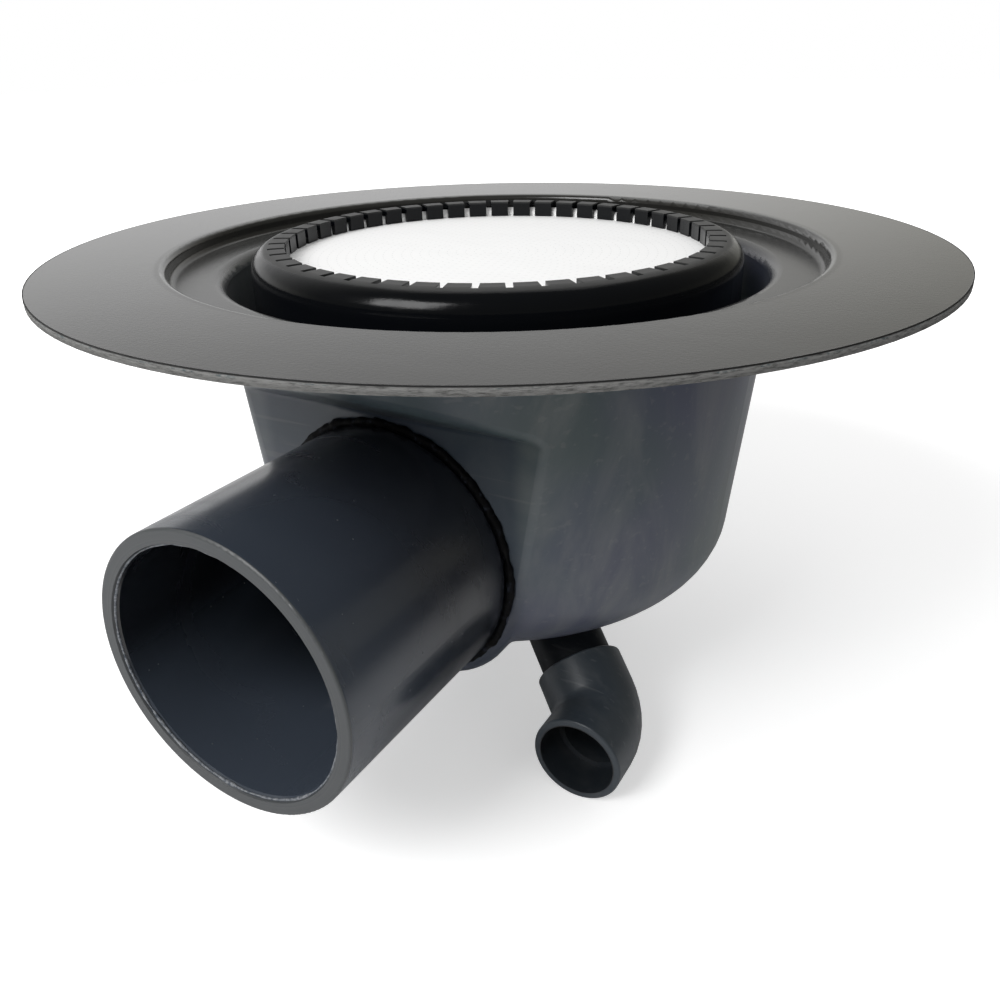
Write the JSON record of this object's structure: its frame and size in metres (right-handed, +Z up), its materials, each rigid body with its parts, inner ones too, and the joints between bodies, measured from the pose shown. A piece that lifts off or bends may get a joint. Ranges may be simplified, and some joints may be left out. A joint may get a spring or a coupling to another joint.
{
  "type": "pond bottom drain",
  "caption": "Pond bottom drain: round liner flange over a tapered sump with a side outlet pipe, and a lift-out aerated dome fed by a small air line.",
  "frame": {"origin": "centre of the flange's rim, at the middle of the sheet's thickness, on the drain's vertical axis", "axes": "+Z up along the drain's axis out of the pond floor, -Y along the outlet pipe away from the sump, +X to the side where the air line leaves"},
  "size_m": [0.38, 0.3808, 0.2077],
  "materials": {
    "formed_sheet": "satin dark grey formed sheet, glossier on its top face",
    "outlet_pipe": "smooth dark blue-grey pipe",
    "adhesive": "black ragged adhesive bead",
    "air_fitting": "satin dark grey moulded fitting",
    "seal_rubber": "matt black rubber",
    "dome_plastic": "satin black moulded plastic",
    "membrane": "matt white membrane with fine slits"
  },
  "bodies": {
    "drain": {"drain_body": "formed_sheet", "outlet_pipe": "outlet_pipe", "outlet_weld": "adhesive", "air_pipe": "air_fitting", "air_elbow_inner": "air_fitting", "air_elbow_outer": "air_fitting"},
    "dome": {"riser_pipe": "air_fitting", "riser_seal": "seal_rubber", "riser_adaptor": "air_fitting", "thread_gasket": "seal_rubber", "diffuser_base": "dome_plastic", "membrane": "membrane", "retaining_ring": "dome_plastic"}
  },
  "joints": [
    {"name": "dome_lift", "type": "slide", "parent": "drain", "child": "dome", "axis": [0, 0, 1], "range_m": [0, 0.06]}
  ]
}
